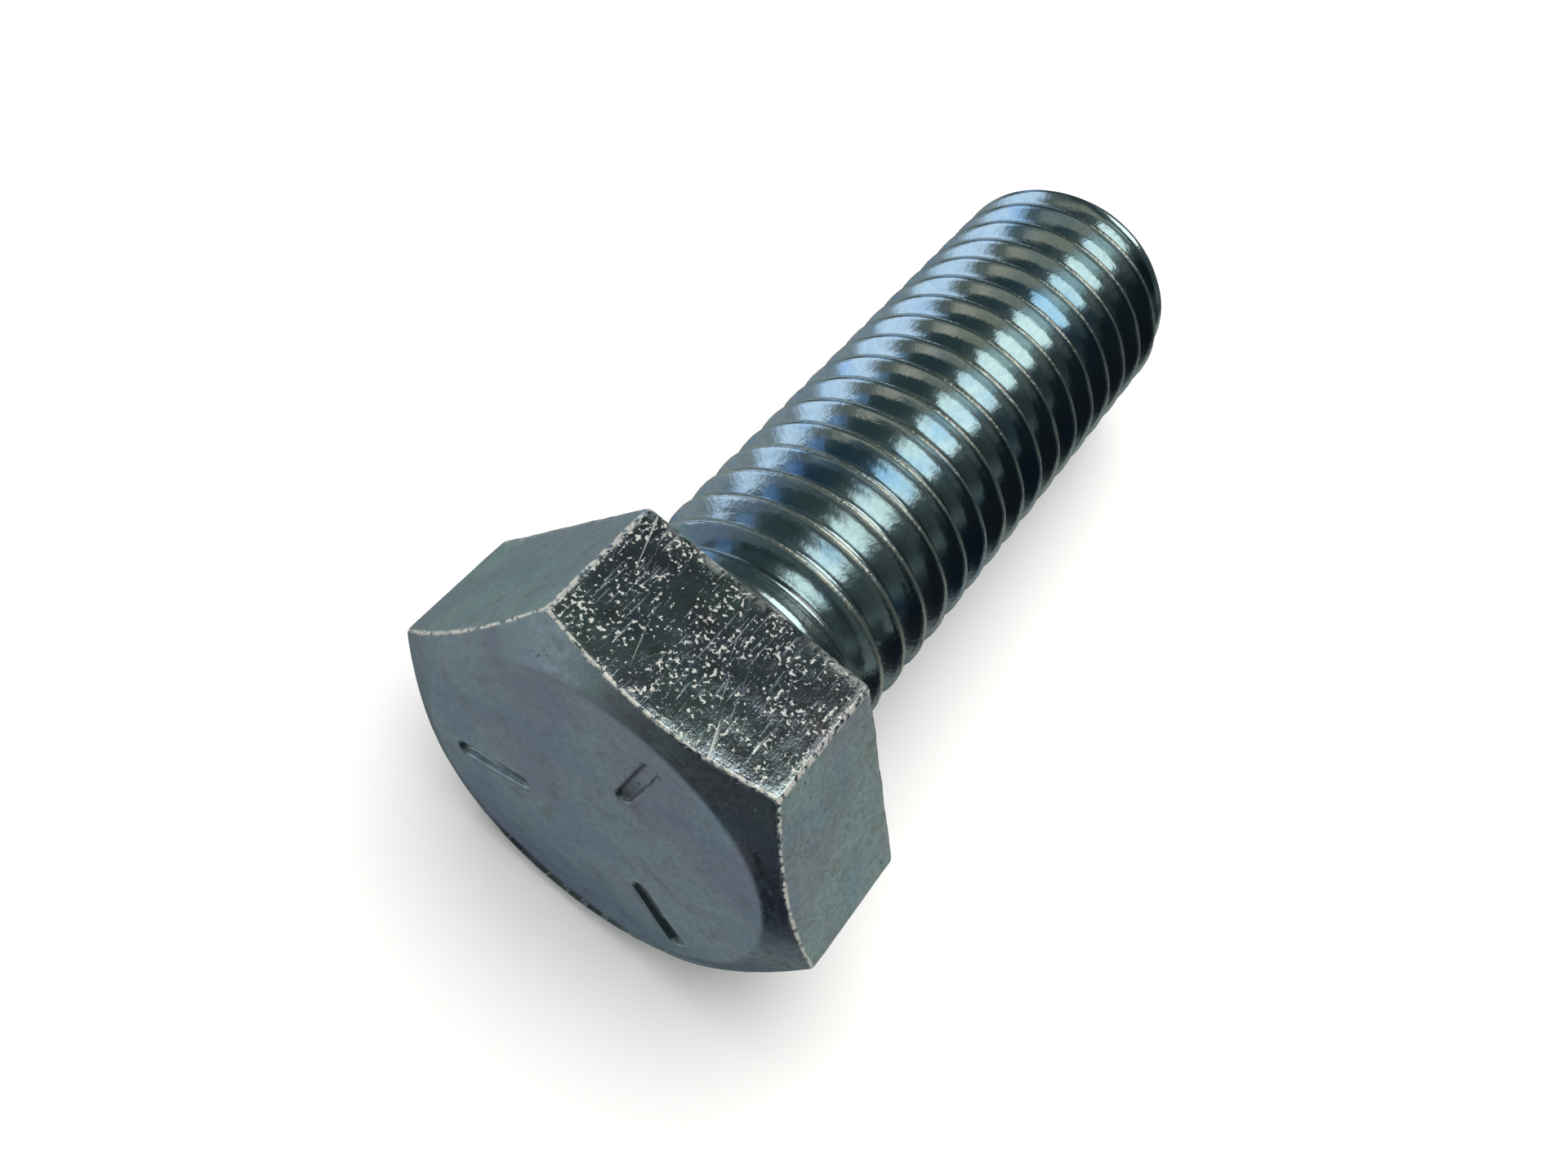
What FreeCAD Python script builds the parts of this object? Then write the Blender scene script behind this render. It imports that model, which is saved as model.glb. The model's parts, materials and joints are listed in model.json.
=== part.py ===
import FreeCAD
import Part
import Sketcher
import math
import os

# Hex head tap bolt, 5/8-11 UNC x 1-3/4, threaded to the head, with three grade dashes.
# It is one forged and thread-rolled piece of steel. The bolt axis is +X from the head to
# the point, the origin is the centre of the bearing face, and +Z is normal to a head flat.

NODE = "hex_bolt"
SHEET = "Dimensions"

# Lengths are in millimetres and angles in degrees.
DIMENSIONS = (
    # head
    ("across_flats", 23.4),
    ("head_height", 9.65),
    ("washer_face_height", 0.45),
    ("washer_face_diameter", 22.4),
    ("hex_corner_radius", 0.35),
    ("chamfer_circle_diameter", 20.8),
    ("chamfer_angle", 25.0),
    # grade dashes, pressed into the top of the head by one slightly off-centre stamp
    ("dash_length", 4.75),
    ("dash_width", 0.9),
    ("dash_depth", 0.35),
    ("dash_inner_radius", 4.3),
    ("dash_start_angle", 96.7),
    ("dash_stamp_offset", 0.37),
    ("dash_count", 3),
    # shank
    ("thread_diameter", 15.6),
    ("neck_diameter", 14.1),
    ("neck_length", 2.8),
    ("neck_fillet", 0.6),
    ("neck_cone_length", 1.1),
    ("bolt_length", 43.6),
    ("point_diameter", 13.2),
    ("point_length", 1.9),
    # thread, 11 per inch
    ("thread_pitch", 25.4 / 11),
    ("crest_width", 0.29),
    ("root_radius", 0.36),
    ("flank_angle", 30.0),
    ("cutter_clearance", 0.1),
    ("groove_start", 3.64),
    ("runout_turns", 0.5),
    ("runout_angle", 32.0),
)

ORIGIN = (-1, 1)  # a sketch's origin point, as the sketcher numbers it
HORIZONTAL_AXIS = -1
VERTICAL_AXIS = -2
START, END, CENTRE = 1, 2, 3  # the points of a line or an arc
TOLERANCE = 1e-6
SMALLEST_CHANGE = 0.05  # cubic millimetres


def vector(x, y, z=0.0):
    return FreeCAD.Vector(x, y, z)


def make_sheet(doc):
    """The spreadsheet that holds the driving dimensions."""
    sheet = doc.addObject("Spreadsheet::Sheet", SHEET)
    for row, (alias, value) in enumerate(DIMENSIONS, start=1):
        sheet.set(f"A{row}", alias)
        sheet.set(f"B{row}", str(value))
        sheet.setAlias(f"B{row}", alias)
    doc.recompute()
    return sheet


def value_of(owner, expression):
    """The number that an expression on the sheet comes to."""
    result = owner.evalExpression(expression)
    return float(getattr(result, "Value", result))


def origin_feature(body, role):
    """One of the body's own origin planes or axes."""
    return next(f for f in body.Origin.OriginFeatures if f.Role == role)


def new_sketch(body, name, role):
    """An empty sketch on one of the body's origin planes."""
    sketch = body.newObject("Sketcher::SketchObject", name)
    sketch.AttachmentSupport = [(origin_feature(body, role), "")]
    sketch.MapMode = "FlatFace"
    return sketch


def bind(sketch, name, expression, kind, *where):
    """Add a named dimension to the sketch whose value follows the expression."""
    value = value_of(sketch, expression)
    if kind == "Angle":
        value = math.radians(value)
    index = sketch.addConstraint(Sketcher.Constraint(kind, *where, value))
    sketch.renameConstraint(index, name)
    sketch.setExpression(f"Constraints.{name}", expression)


def locate(sketch, name, point, x_expression, y_expression):
    """Hold a point of the sketch at a place that follows two expressions."""
    directions = (
        ("DistanceX", f"{name}_x", x_expression, VERTICAL_AXIS),
        ("DistanceY", f"{name}_y", y_expression, HORIZONTAL_AXIS),
    )
    for kind, label, expression, zero_axis in directions:
        value = value_of(sketch, expression)
        if abs(value) < TOLERANCE:
            sketch.addConstraint(Sketcher.Constraint("PointOnObject", *point, zero_axis))
        elif value > 0:
            bind(sketch, label, expression, kind, *ORIGIN, *point)
        else:
            bind(sketch, label, f"-({expression})", kind, *point, *ORIGIN)


def add_polygon(sketch, corners):
    """A closed outline of straight lines through points given as expressions."""
    points = [vector(value_of(sketch, x), value_of(sketch, y)) for x, y in corners]
    lines = [
        sketch.addGeometry(Part.LineSegment(start, end))
        for start, end in zip(points, points[1:] + points[:1])
    ]
    for line, following in zip(lines, lines[1:] + lines[:1]):
        sketch.addConstraint(Sketcher.Constraint("Coincident", line, END, following, START))
    for number, (line, (x, y)) in enumerate(zip(lines, corners)):
        locate(sketch, f"corner{number}", (line, START), x, y)


def fillet_edges(body, name, base, radius, wanted):
    """Round the edges of the base feature that the test picks out."""
    fillet = body.newObject("PartDesign::Fillet", name)
    edges = [f"Edge{n}" for n, edge in enumerate(base.Shape.Edges, start=1) if wanted(edge)]
    fillet.Base = (base, edges)
    fillet.setExpression("Radius", radius)


def add_head(doc, body):
    """The hexagonal head, with its corners slightly rounded."""
    sketch = new_sketch(body, "HexSketch", "YZ_Plane")
    flat = "Dimensions.across_flats / 2"
    half_side = "Dimensions.across_flats / 2 * tan(30)"
    corner = "Dimensions.across_flats / 2 / cos(30)"
    add_polygon(
        sketch,
        (
            (corner, "0"),
            (half_side, flat),
            (f"-({half_side})", flat),
            (f"-({corner})", "0"),
            (f"-({half_side})", f"-({flat})"),
            (half_side, f"-({flat})"),
        ),
    )
    sketch.setExpression("AttachmentOffset.Base.z", "-Dimensions.washer_face_height")
    pad = body.newObject("PartDesign::Pad", "HexPad")
    pad.Profile = sketch
    pad.Reversed = True
    pad.setExpression("Length", "Dimensions.head_height - Dimensions.washer_face_height")
    doc.recompute()

    def along_the_axis(edge):
        start, end = (vertex.Point for vertex in edge.Vertexes)
        return abs(start.x - end.x) > TOLERANCE

    fillet_edges(body, "HexCorners", pad, "Dimensions.hex_corner_radius", along_the_axis)
    doc.recompute()


def add_top_chamfer(doc, body):
    """The cone that trims the corners of the head down to the round top face."""
    sketch = new_sketch(body, "ChamferSketch", "XY_Plane")
    top = "-Dimensions.head_height"
    above = "-Dimensions.head_height - 1"
    inner = "Dimensions.chamfer_circle_diameter / 2"
    outer = "Dimensions.across_flats"
    foot = f"{top} + ({outer} - {inner}) * tan(Dimensions.chamfer_angle)"
    add_polygon(sketch, ((top, inner), (above, inner), (above, outer), (foot, outer)))
    chamfer = body.newObject("PartDesign::Groove", "TopChamfer")
    chamfer.Profile = sketch
    chamfer.ReferenceAxis = (origin_feature(body, "X_Axis"), [""])
    doc.recompute()


def add_shank(doc, body):
    """The washer face, the plain neck, the thread's blank and the pointed end."""
    sketch = new_sketch(body, "ShankSketch", "XY_Plane")
    washer = "Dimensions.washer_face_diameter / 2"
    neck = "Dimensions.neck_diameter / 2"
    crest = "Dimensions.thread_diameter / 2"
    end = "Dimensions.bolt_length"
    behind = "-Dimensions.washer_face_height"
    add_polygon(
        sketch,
        (
            (behind, "0"),
            (behind, washer),
            ("0", washer),
            ("0", neck),
            ("Dimensions.neck_length", neck),
            ("Dimensions.neck_length + Dimensions.neck_cone_length", crest),
            (f"{end} - Dimensions.point_length", crest),
            (end, "Dimensions.point_diameter / 2"),
            (end, "0"),
        ),
    )
    shank = body.newObject("PartDesign::Revolution", "Shank")
    shank.Profile = sketch
    shank.ReferenceAxis = (origin_feature(body, "X_Axis"), [""])
    doc.recompute()
    neck_radius = value_of(sketch, neck)

    def under_the_head(edge):
        circle = edge.Curve
        return (
            isinstance(circle, Part.Circle)
            and abs(circle.Radius - neck_radius) < TOLERANCE
            and abs(circle.Center.x) < TOLERANCE
        )

    fillet_edges(body, "NeckFillet", shank, "Dimensions.neck_fillet", under_the_head)
    doc.recompute()


def add_dashes(doc, body):
    """Three radial grade dashes with round ends, pressed into the top of the head."""
    sketch = new_sketch(body, "DashSketch", "YZ_Plane")
    sketch.setExpression("AttachmentOffset.Base.x", "-Dimensions.dash_stamp_offset")
    sketch.setExpression("AttachmentOffset.Base.z", "-Dimensions.head_height")
    sketch.setExpression("AttachmentOffset.Rotation.Angle", "Dimensions.dash_start_angle")
    half = value_of(sketch, "Dimensions.dash_width / 2")
    inner = value_of(sketch, "Dimensions.dash_inner_radius + Dimensions.dash_width / 2")
    outer = inner + value_of(sketch, "Dimensions.dash_length - Dimensions.dash_width")
    quarter = math.pi / 2

    def round_end(x, start):
        circle = Part.Circle(vector(x, 0), vector(0, 0, 1), half)
        return sketch.addGeometry(Part.ArcOfCircle(circle, start, start + math.pi))

    upper = sketch.addGeometry(Part.LineSegment(vector(outer, half), vector(inner, half)))
    inner_end = round_end(inner, quarter)
    lower = sketch.addGeometry(Part.LineSegment(vector(inner, -half), vector(outer, -half)))
    outer_end = round_end(outer, -quarter)
    outline = (upper, inner_end, lower, outer_end)
    for edge, following in zip(outline, outline[1:] + outline[:1]):
        sketch.addConstraint(Sketcher.Constraint("Tangent", edge, END, following, START))
    locate(
        sketch,
        "inner",
        (inner_end, CENTRE),
        "Dimensions.dash_inner_radius + Dimensions.dash_width / 2",
        "0",
    )
    sketch.addConstraint(Sketcher.Constraint("Horizontal", lower))
    bind(
        sketch,
        "straight",
        "Dimensions.dash_length - Dimensions.dash_width",
        "DistanceX",
        lower,
        START,
        lower,
        END,
    )
    bind(sketch, "rounding", "Dimensions.dash_width / 2", "Radius", outer_end)
    dash = body.newObject("PartDesign::Pocket", "Dash")
    dash.Profile = sketch
    dash.Reversed = True
    dash.setExpression("Length", "Dimensions.dash_depth")
    doc.recompute()
    dashes = body.newObject("PartDesign::PolarPattern", "Dashes")
    dashes.Originals = [dash]
    dashes.Axis = (sketch, ["N_Axis"])
    dashes.setExpression("Occurrences", "Dimensions.dash_count")
    body.Tip = dashes
    doc.recompute()


def add_groove_profile(body):
    """The section of the thread's groove: two flanks that meet in a round root."""
    sketch = new_sketch(body, "GrooveSketch", "XY_Plane")
    crest = "Dimensions.thread_diameter / 2"
    mouth = "Dimensions.thread_pitch - Dimensions.crest_width"
    middle = value_of(sketch, "Dimensions.groove_start")
    root = value_of(sketch, "Dimensions.root_radius")
    flank = math.radians(value_of(sketch, "Dimensions.flank_angle"))
    height = value_of(sketch, crest)
    top = height + value_of(sketch, "Dimensions.cutter_clearance")
    half_mouth = value_of(sketch, mouth) / 2
    half_top = half_mouth + (top - height) * math.tan(flank)
    root_centre = height - half_mouth / math.tan(flank) + root / math.sin(flank)
    touch_x = root * math.cos(flank)
    touch_y = root_centre - root * math.sin(flank)

    def line(start, end):
        return sketch.addGeometry(
            Part.LineSegment(vector(middle + start[0], start[1]), vector(middle + end[0], end[1]))
        )

    left = line((-touch_x, touch_y), (-half_top, top))
    lid = line((-half_top, top), (half_top, top))
    right = line((half_top, top), (touch_x, touch_y))
    circle = Part.Circle(vector(middle, root_centre), vector(0, 0, 1), root)
    bottom = sketch.addGeometry(Part.ArcOfCircle(circle, math.pi + flank, 2 * math.pi - flank))
    gauge = line((-half_mouth, height), (half_mouth, height))
    centre_line = line((0, 0), (0, top))
    for guide in (gauge, centre_line):
        sketch.setConstruction(guide, True)

    for rule in (
        ("Coincident", left, END, lid, START),
        ("Coincident", lid, END, right, START),
        ("Tangent", bottom, START, left, START),
        ("Tangent", bottom, END, right, END),
        ("Vertical", centre_line),
        ("Symmetric", left, END, right, START, centre_line),
        ("PointOnObject", bottom, CENTRE, centre_line),
        ("PointOnObject", gauge, START, left),
        ("PointOnObject", gauge, END, right),
        ("Horizontal", gauge),
    ):
        sketch.addConstraint(Sketcher.Constraint(*rule))
    locate(sketch, "middle", (centre_line, START), "Dimensions.groove_start", "0")
    bind(sketch, "reach", f"{crest} + Dimensions.cutter_clearance", "DistanceY", *ORIGIN, left, END)
    bind(sketch, "guide", crest, "DistanceY", centre_line, START, centre_line, END)
    bind(sketch, "crest", crest, "DistanceY", *ORIGIN, gauge, START)
    bind(sketch, "mouth", mouth, "DistanceX", gauge, START, gauge, END)
    bind(sketch, "root", "Dimensions.root_radius", "Radius", bottom)
    bind(sketch, "flank", "90 + Dimensions.flank_angle", "Angle", left)
    return sketch


def add_thread(doc, body):
    """The right-hand thread, and the half turn where its groove fades out at the neck."""
    profile = add_groove_profile(body)
    doc.recompute()

    def cut(name, mode):
        helix = body.newObject("PartDesign::SubtractiveHelix", name)
        helix.Profile = profile
        helix.ReferenceAxis = (origin_feature(body, "X_Axis"), [""])
        helix.Mode = mode
        helix.setExpression("Pitch", "Dimensions.thread_pitch")
        return helix

    runout = cut("ThreadRunout", "pitch-turns-angle")
    runout.Reversed = True
    runout.setExpression("Turns", "Dimensions.runout_turns")
    runout.setExpression("Angle", "Dimensions.runout_angle")
    doc.recompute()
    groove = cut("ThreadGroove", "pitch-height-angle")
    groove.setExpression(
        "Height", "Dimensions.bolt_length - Dimensions.groove_start + Dimensions.thread_pitch"
    )
    doc.recompute()


def check(doc, body):
    """Stop if a feature failed, did nothing, or left a bad solid."""
    for item in doc.Objects:
        if {"Invalid", "Error"} & set(item.State):
            raise RuntimeError(f"{item.Label} failed: {item.getStatusString()}")
    features = [item for item in body.Group if item.isDerivedFrom("PartDesign::Feature")]
    for before, after in zip(features, features[1:]):
        if abs(after.Shape.Volume - before.Shape.Volume) < SMALLEST_CHANGE:
            raise RuntimeError(f"{after.Label} changed nothing")
    shape = body.Shape
    if shape.isNull() or not shape.isValid() or len(shape.Solids) != 1:
        raise RuntimeError(f"{body.Label} is not one valid solid")


doc = FreeCAD.newDocument(NODE)
make_sheet(doc)
bolt = doc.addObject("PartDesign::Body", "Bolt")
bolt.Label = NODE
doc.recompute()
for add_feature in (add_head, add_top_chamfer, add_shank, add_dashes, add_thread):
    add_feature(doc, bolt)
bolt.Placement = FreeCAD.Placement(vector(0, 0), FreeCAD.Rotation())
doc.recompute()
check(doc, bolt)
os.makedirs("parts", exist_ok=True)
bolt.Shape.exportStep(f"parts/{bolt.Label}.step")
print(bolt.Label, "volume", round(bolt.Shape.Volume, 1), "mm3")
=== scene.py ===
import json
import math

import bpy
import numpy as np
from mathutils import Matrix, Vector, noise


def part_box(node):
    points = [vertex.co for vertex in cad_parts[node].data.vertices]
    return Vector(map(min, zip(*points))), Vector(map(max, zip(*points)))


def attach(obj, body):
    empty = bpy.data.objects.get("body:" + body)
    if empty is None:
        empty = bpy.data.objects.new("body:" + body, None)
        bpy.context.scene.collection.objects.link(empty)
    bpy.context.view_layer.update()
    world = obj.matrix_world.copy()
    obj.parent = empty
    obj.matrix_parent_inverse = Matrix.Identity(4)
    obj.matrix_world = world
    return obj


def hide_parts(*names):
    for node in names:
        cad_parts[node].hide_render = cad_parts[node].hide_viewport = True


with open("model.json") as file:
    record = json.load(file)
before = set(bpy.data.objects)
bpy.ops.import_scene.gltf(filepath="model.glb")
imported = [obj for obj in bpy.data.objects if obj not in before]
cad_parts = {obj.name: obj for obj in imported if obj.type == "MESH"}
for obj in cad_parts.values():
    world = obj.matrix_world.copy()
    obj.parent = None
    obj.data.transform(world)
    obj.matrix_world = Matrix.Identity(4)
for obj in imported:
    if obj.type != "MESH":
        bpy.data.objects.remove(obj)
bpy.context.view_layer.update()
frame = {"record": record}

# A zinc-plated hex bolt. Lengths are in millimetres until the mesh is made, and angles are
# measured round the bolt's axis, +X, from +Y towards +Z. The axis runs from head to point.

MM = 0.001
NODE = "hex_bolt"
MOUNTS = {mount["name"]: mount for mount in frame["record"]["mounts"]}
NODE_LOW, NODE_HIGH = (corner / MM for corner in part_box(NODE))

HEAD_TOP = NODE_LOW.x
TIP = NODE_HIGH.x
FLAT_RADIUS = NODE_HIGH.z
THREAD_RADIUS = MOUNTS["thread"]["dims"]["r_mm"]

# the head
CORNER_ROUNDING = 0.5
FACE_RADIUS = 10.4
CHAMFER_SLOPE = math.tan(math.radians(25))
WASHER_HEIGHT = 0.45
WASHER_RADIUS = 11.2
FACE_EDGE_ROUNDING = 1.1
CHAMFER_EDGE_ROUNDING = 0.3
BACK_EDGE_ROUNDING = 0.34
WASHER_EDGE_ROUNDING = 0.15

CORNER_ANGLE = math.radians(60)
EDGE_WEAR = (0.1, 0.4, 0.9, 1.0, 0.9, 0.4, 0.1)
ARC_RINGS = len(EDGE_WEAR)
CORNER_WEAR, CORNER_WEAR_FADES = 0.8, (1.2, 0.4)  # the fades are degrees from the corner
SIDE_RUB, BACK_EDGE_RUB = (0.25, 0.25), (0.35, 0.3)  # everywhere, and more where it is uneven
SIDE_RUB_FADES = (-1.5, -0.7)
CHAMFER_EDGE_UNEVENNESS, BACK_EDGE_UNEVENNESS = 0.35, 0.3
UNEVEN_X, UNEVEN_RADIUS, UNEVEN_LENGTH = 3.0, 12.0, 2.2  # a ring in the noise, and its scale
FACE_MASK_FADE, FACE_MASK_DEPTH = 0.6, 0.2
WAVY_TOP_DEPTH, WAVY_SIDES_START = 0.3, 0.02
SIDE_MARGIN = 0.15
TOP_FLAT_SPECKLE, OTHER_FLAT_SPECKLE, CHAMFER_SPECKLE = 1.0, 0.1, 0.02
WAVE_HEIGHT, RIPPLE_HEIGHT = 0.035, 0.012
WAVE_LENGTH, RIPPLE_LENGTH = 5.0, 1.4
# the top falls away towards its lower edge, from this height down
FALL_START, FALL_RATE = -3.0, 0.006

# the neck and the point
NECK_RADIUS = 7.05
NECK_FILLET = 0.6
NECK_END = 1.5
CONE_START, CONE_END = 2.8, 3.9
CONE_EASING = 0.2
POINT_START = TIP - 1.9
POINT_RADIUS = 6.6
POINT_EDGE = 0.18
END_BEVEL, END_INSET = 0.06, 0.25
END_RADII = (5.0, 3.0, 1.2)

# the thread
PITCH = 25.4 / 11
CREST_WIDTH = 0.29
ROOT_ROUNDING = 0.36
FLANK = math.radians(30)
MOUTH = (PITCH - CREST_WIDTH) / 2
ROOT_CENTRE = THREAD_RADIUS - MOUTH / math.tan(FLANK) + ROOT_ROUNDING / math.sin(FLANK)
CREST_ROUNDING = 0.09
POINT_ROUNDING = 0.12
CREST_UNEVENNESS, CREST_NOISE_LENGTH = 0.035, 0.9
SEAM_DEPTH, SEAM_WIDTH = 0.05, 0.055
SEAM_FADES = (9.0, 16.0)
# the worn line on each crest, which is wider where the crest has a seam
CREST_LINE, CREST_LINE_GAIN = 0.075, 0.06
CREST_LINE_IN, CREST_LINE_OUT = 0.02, 0.05
GROOVE_AT_ZERO = 3.64
RUNOUT_HEIGHT = 1.152
RUNOUT_FROM, RUNOUT_TO = -0.55 * PITCH, 0.05 * PITCH

# how finely the surface is divided
CREST_STEPS = (0.0, 0.06, 0.11)
FLANK_STEPS = (0.0, 0.05, 0.14, 0.42, 0.70, 0.82, 0.92)
SECTOR_COLUMNS = 60
CORNER_COLUMNS = 9
CORNER_SPREAD = 0.95
FACE_RINGS = 70
FACE_INNER, FACE_OUTER = 3.7, 9.7
CHAMFER_RINGS = 10
SIDE_RINGS = 24
FOOT_RINGS, WASHER_ARC_RINGS, BEARING_RINGS, FILLET_RINGS = 2, 5, 6, 8
INNER_THINNING = 4
INNER_RADII = (3.3, 2.8, 2.2, 1.6, 1.0, 0.5)
COLUMN_GAP = 0.04


def smoothstep(low, high, value):
    t = np.clip((value - low) / (high - low), 0.0, 1.0)
    return t * t * (3 - 2 * t)


def smooth_min(a, b, width):
    """The lesser of two surfaces, with the corner between them rounded."""
    t = np.clip(0.5 + 0.5 * (b - a) / width, 0.0, 1.0)
    return b + (a - b) * t - width * t * (1 - t)


def noise_field(points, scale, offset=0.0, octaves=3):
    """Smooth noise from about -1 to 1 at each point, with features of that scale.

    The offset picks another part of the noise.
    """
    shift = Vector((offset, offset * 1.7, offset * 2.3))
    return np.array(
        [noise.fractal(Vector(p) / scale + shift, 0.6, 2.1, octaves) for p in points]
    )


# ---------------------------------------------------------------- the surface as a mesh


class Surface:
    """Points, faces and per-point masks, gathered ring by ring."""

    def __init__(self):
        self.points = []
        self.faces = []
        self.masks = {"wear": [], "thread": [], "crest": [], "speckle": [], "top": [], "stamp": []}
        self.count = 0

    def add(self, points, **masks):
        """Add points and return their numbers."""
        points = np.asarray(points, float).reshape(-1, 3)
        self.points.append(points)
        for name, values in self.masks.items():
            values.append(np.broadcast_to(np.asarray(masks.get(name, 0.0), float), len(points)))
        numbers = np.arange(self.count, self.count + len(points))
        self.count += len(points)
        return numbers

    def strip(self, ring, following):
        """Quads between two closed rings that have the same number of points."""
        a, b = np.asarray(ring), np.asarray(following)
        self.faces += np.stack([a, np.roll(a, -1), np.roll(b, -1), b], axis=1).tolist()

    def thin_out(self, fine, coarse):
        """Faces from a ring to one with a whole fraction of its points."""
        step = len(fine) // len(coarse)
        for number, start in enumerate(coarse):
            end = coarse[(number + 1) % len(coarse)]
            span = [fine[(number * step + k) % len(fine)] for k in range(step + 1)]
            half = step // 2
            self.faces += [[span[k], span[k + 1], start] for k in range(half)]
            self.faces.append([span[half], end, start])
            self.faces += [[span[k], span[k + 1], end] for k in range(half, step)]

    def thicken(self, coarse, fine):
        """Faces from a ring to one with a whole multiple of its points."""
        step = len(fine) // len(coarse)
        for number, start in enumerate(coarse):
            end = coarse[(number + 1) % len(coarse)]
            span = [fine[(number * step + k) % len(fine)] for k in range(step + 1)]
            half = step // 2
            self.faces += [[start, span[k + 1], span[k]] for k in range(half)]
            self.faces.append([start, end, span[half]])
            self.faces += [[end, span[k + 1], span[k]] for k in range(half, step)]


def round_corner(before, corner, after, radius, count):
    """Points of the arc that rounds a corner of the outline, for every column at once."""
    into = corner - before
    out = after - corner
    into = into / np.linalg.norm(into, axis=1, keepdims=True)
    out = out / np.linalg.norm(out, axis=1, keepdims=True)
    turn = np.arccos(np.clip((into * out).sum(1), -1, 1))
    reach = radius * np.tan(turn / 2)
    start = corner - into * reach[:, None]
    side = out - into * (into * out).sum(1)[:, None]
    side = side / np.linalg.norm(side, axis=1, keepdims=True)
    arc = []
    for step in np.linspace(0, 1, count):
        angle = (turn * step)[:, None]
        reach_out = np.broadcast_to(radius, turn.shape)[:, None]
        arc.append(start + reach_out * (into * np.sin(angle) + side * (1 - np.cos(angle))))
    return arc


def head_columns():
    """The angles of the head's columns, closer together at the six corners."""
    near = np.linspace(-CORNER_SPREAD, CORNER_SPREAD, CORNER_COLUMNS)
    rest = SECTOR_COLUMNS - CORNER_COLUMNS
    far = CORNER_SPREAD + (60 - 2 * CORNER_SPREAD) * np.arange(1, rest + 1) / (rest + 1)
    one = np.radians(np.concatenate([near, far]))
    return np.concatenate([one + CORNER_ANGLE * k for k in range(6)])


def off_corner(angles):
    """How far each angle is from the nearest corner of the head."""
    half = CORNER_ANGLE / 2
    return (angles + half) % CORNER_ANGLE - half


def hexagon_radius(angles):
    """The radius of the rounded hexagon at each angle. Its corners are at 0, 60 and so on."""
    from_corner = off_corner(angles)
    across = CORNER_ANGLE / 2
    straight = FLAT_RADIUS / np.cos(across - np.abs(from_corner))
    centre = (FLAT_RADIUS - CORNER_ROUNDING) / math.cos(across)
    inside = np.maximum(CORNER_ROUNDING**2 - (centre * np.sin(from_corner)) ** 2, 0)
    rounded = centre * np.cos(from_corner) + np.sqrt(inside)
    touch = math.atan2(
        CORNER_ROUNDING * math.sin(across), centre + CORNER_ROUNDING * math.cos(across)
    )
    return np.where(np.abs(from_corner) < touch, rounded, straight)


def turned(profile, angles):
    """A ring in space from each column's distance along the axis and radius."""
    x, r = profile[:, 0], profile[:, 1]
    return np.stack([x, r * np.cos(angles), r * np.sin(angles)], axis=1)


def level(x, r, columns):
    """The same place along the axis and radius, for every column."""
    return np.stack([np.broadcast_to(x, columns), np.broadcast_to(r, columns)], axis=1)


def between(start, end, count):
    """Rings evenly spaced from one to the other, without either."""
    return [start + (end - start) * k / (count + 1) for k in range(1, count + 1)]


# the grade dashes: the stamp's centre is a little off the axis
STAMP_CENTRE = (-0.37, 0.0)
DASH_ANGLES = [math.radians(96.7 + 120 * k) for k in range(3)]
DASH_INNER, DASH_OUTER = 4.3, 9.05
DASH_HALF_WIDTH = 0.45
DASH_DEPTH = 0.35
DASH_DEPTH_INSIDE, DASH_DEPTH_GAIN = 0.6, 0.5
DASH_WALL_IN, DASH_WALL_OUT = 0.14, 0.03
RIM_HEIGHT, RIM_WIDTH = 0.045, 0.12


def stamped(y, z):
    """How deep the top of the head is pressed in at each place; negative is raised."""
    depth = np.zeros_like(y)
    from_y, from_z = y - STAMP_CENTRE[0], z - STAMP_CENTRE[1]
    for angle in DASH_ANGLES:
        along = from_y * math.cos(angle) + from_z * math.sin(angle)
        aside = -from_y * math.sin(angle) + from_z * math.cos(angle)
        start, end = DASH_INNER + DASH_HALF_WIDTH, DASH_OUTER - DASH_HALF_WIDTH
        past = along - np.clip(along, start, end)
        away = np.hypot(past, aside)
        wall_foot, wall_top = DASH_HALF_WIDTH - DASH_WALL_IN, DASH_HALF_WIDTH + DASH_WALL_OUT
        pressed = 1 - smoothstep(wall_foot, wall_top, away)
        rim = np.exp(-(((away - DASH_HALF_WIDTH - DASH_WALL_IN) / RIM_WIDTH) ** 2))
        deeper = DASH_DEPTH_INSIDE + DASH_DEPTH_GAIN * smoothstep(start, end, along)
        depth += DASH_DEPTH * deeper * pressed - RIM_HEIGHT * rim
    return depth


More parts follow.
